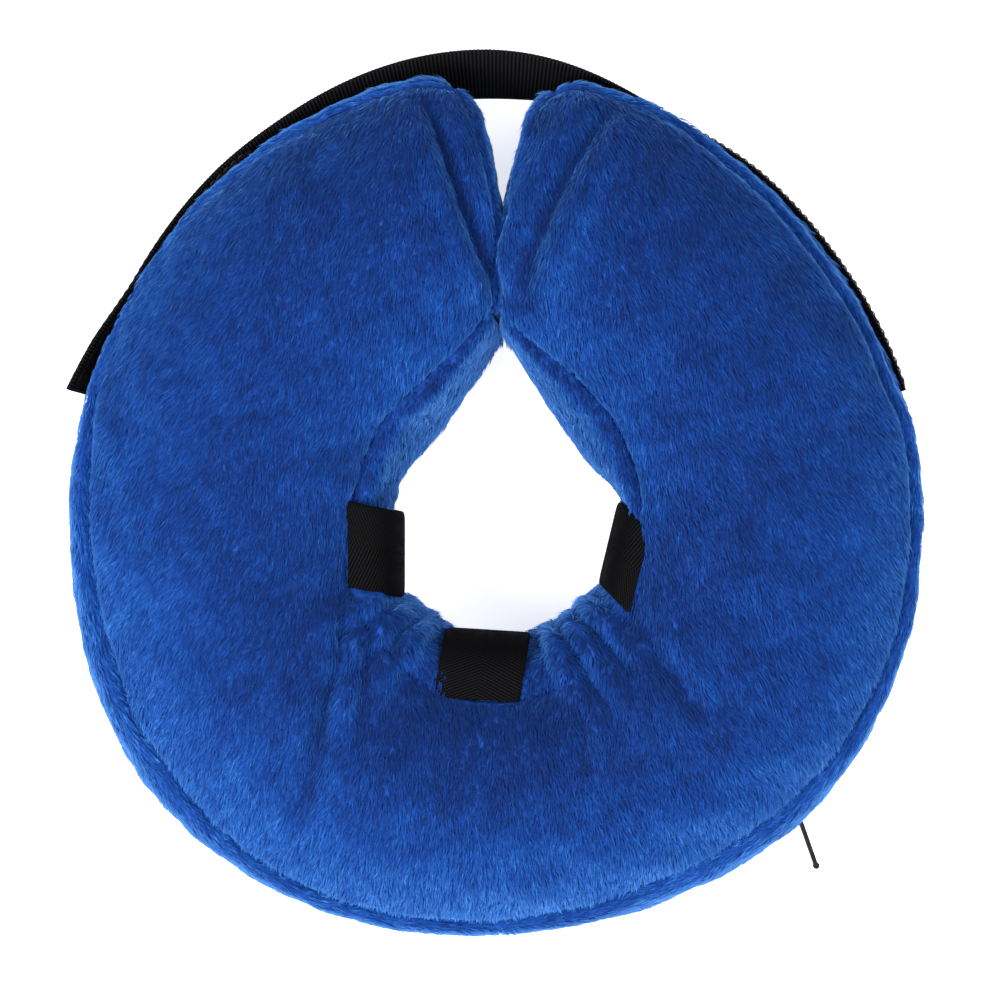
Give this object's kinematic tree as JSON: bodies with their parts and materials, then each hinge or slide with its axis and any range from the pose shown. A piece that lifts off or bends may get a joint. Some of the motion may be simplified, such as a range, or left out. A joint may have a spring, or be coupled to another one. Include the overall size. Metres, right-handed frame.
{
  "type": "elizabethan collar",
  "caption": "Inflatable ring collar with a zip-off plush cover, split at the top and closed by a hook-and-loop strap, with webbing loops inside for a pet's own collar.",
  "frame": {"origin": "on the axis of the neck opening, in the plane that the back panel rests on", "axes": "+Z along the neck opening's axis from the back panel to the front panel; +Y towards the slit between the lobes; +X towards the arm that the strap is sewn to"},
  "size_m": [0.3007, 0.314, 0.084],
  "materials": {
    "plush_cloth": "short pile plush, royal blue",
    "bladder_film": "clear PVC film",
    "valve_vinyl": "moulded vinyl",
    "webbing_black": "woven nylon, matt black",
    "hook_and_loop_black": "hook and loop fastener tape, matt black",
    "thread_black": "polyester thread",
    "zipper_tape_blue": "woven polyester tape",
    "zipper_coil_blue": "nylon coil",
    "zipper_metal": "black enamel on die-cast zinc"
  },
  "bodies": {
    "bottom": {"front_panel_bottom": "plush_cloth", "back_panel_bottom": "plush_cloth", "inner_band_bottom": "plush_cloth", "outer_band_bottom": "plush_cloth", "bladder_bottom": "bladder_film", "valve_base": "valve_vinyl", "valve_stem": "valve_vinyl", "collar_loop_bottom": "webbing_black", "collar_loop_bottom_stitching": "thread_black", "zipper_tape_front": "zipper_tape_blue", "zipper_tape_back": "zipper_tape_blue", "zipper_coil_front": "zipper_coil_blue", "zipper_coil_back": "zipper_coil_blue", "zipper_top_stop": "zipper_metal", "zipper_bottom_stop": "zipper_metal"},
    "left_arm": {"front_panel_left": "plush_cloth", "back_panel_left": "plush_cloth", "inner_band_left": "plush_cloth", "outer_band_left": "plush_cloth", "end_panel_left": "plush_cloth", "bladder_left": "bladder_film", "collar_loop_left": "webbing_black", "collar_loop_left_stitching": "thread_black", "loop_tape": "hook_and_loop_black", "loop_tape_stitching": "thread_black"},
    "right_arm": {"front_panel_right": "plush_cloth", "back_panel_right": "plush_cloth", "inner_band_right": "plush_cloth", "outer_band_right": "plush_cloth", "end_panel_right": "plush_cloth", "bladder_right": "bladder_film", "collar_loop_right": "webbing_black", "collar_loop_right_stitching": "thread_black", "strap_sewn": "webbing_black", "strap_sewn_stitching": "thread_black"},
    "strap": {"strap_bridge": "webbing_black"},
    "strap_end": {"strap_end": "webbing_black", "hook_tape": "hook_and_loop_black", "hook_tape_stitching": "thread_black"},
    "slider": {"zipper_slider": "zipper_metal"},
    "pull": {"zipper_pull": "zipper_metal"},
    "plug": {"valve_plug": "valve_vinyl"}
  },
  "joints": [
    {"name": "strap_swing", "type": "hinge", "parent": "right_arm", "child": "strap", "pos_m": [0.06236, 0.14811, 0.042], "axis": [0, 0, -1], "range_deg": [0, 105]},
    {"name": "strap_straighten", "type": "hinge", "parent": "strap", "child": "strap_end", "pos_m": [-0.08356, 0.14607, 0.042], "axis": [0, 0, -1], "range_deg": [0, 42]},
    {"name": "right_arm_open", "type": "hinge", "parent": "bottom", "child": "right_arm", "pos_m": [0.11273, -0.08198, 0.042], "axis": [0, 0, -1], "range_deg": [0, 15]},
    {"name": "left_arm_open", "type": "hinge", "parent": "bottom", "child": "left_arm", "pos_m": [-0.12273, -0.08198, 0.042], "axis": [0, 0, 1], "range_deg": [0, 15]},
    {"name": "zipper_slide", "type": "hinge", "parent": "bottom", "child": "slider", "pos_m": [-0.005, 0.01, 0.042], "axis": [0, 0, -1], "range_deg": [0, 87]},
    {"name": "zipper_pull_swing", "type": "hinge", "parent": "slider", "child": "pull", "pos_m": [0.10262, -0.09762, 0.042], "axis": [0, 0, 1], "range_deg": [-54, 105]},
    {"name": "valve_plug_pull", "type": "slide", "parent": "bottom", "child": "plug", "axis": [0, -1, 0], "range_m": [0, 0.005]}
  ],
  "couplings": [
    {"joint": "strap_straighten", "follows": "strap_swing", "ratio": 0.4},
    {"joint": "right_arm_open", "follows": "strap_swing", "ratio": 0.14},
    {"joint": "left_arm_open", "follows": "strap_swing", "ratio": 0.14}
  ]
}
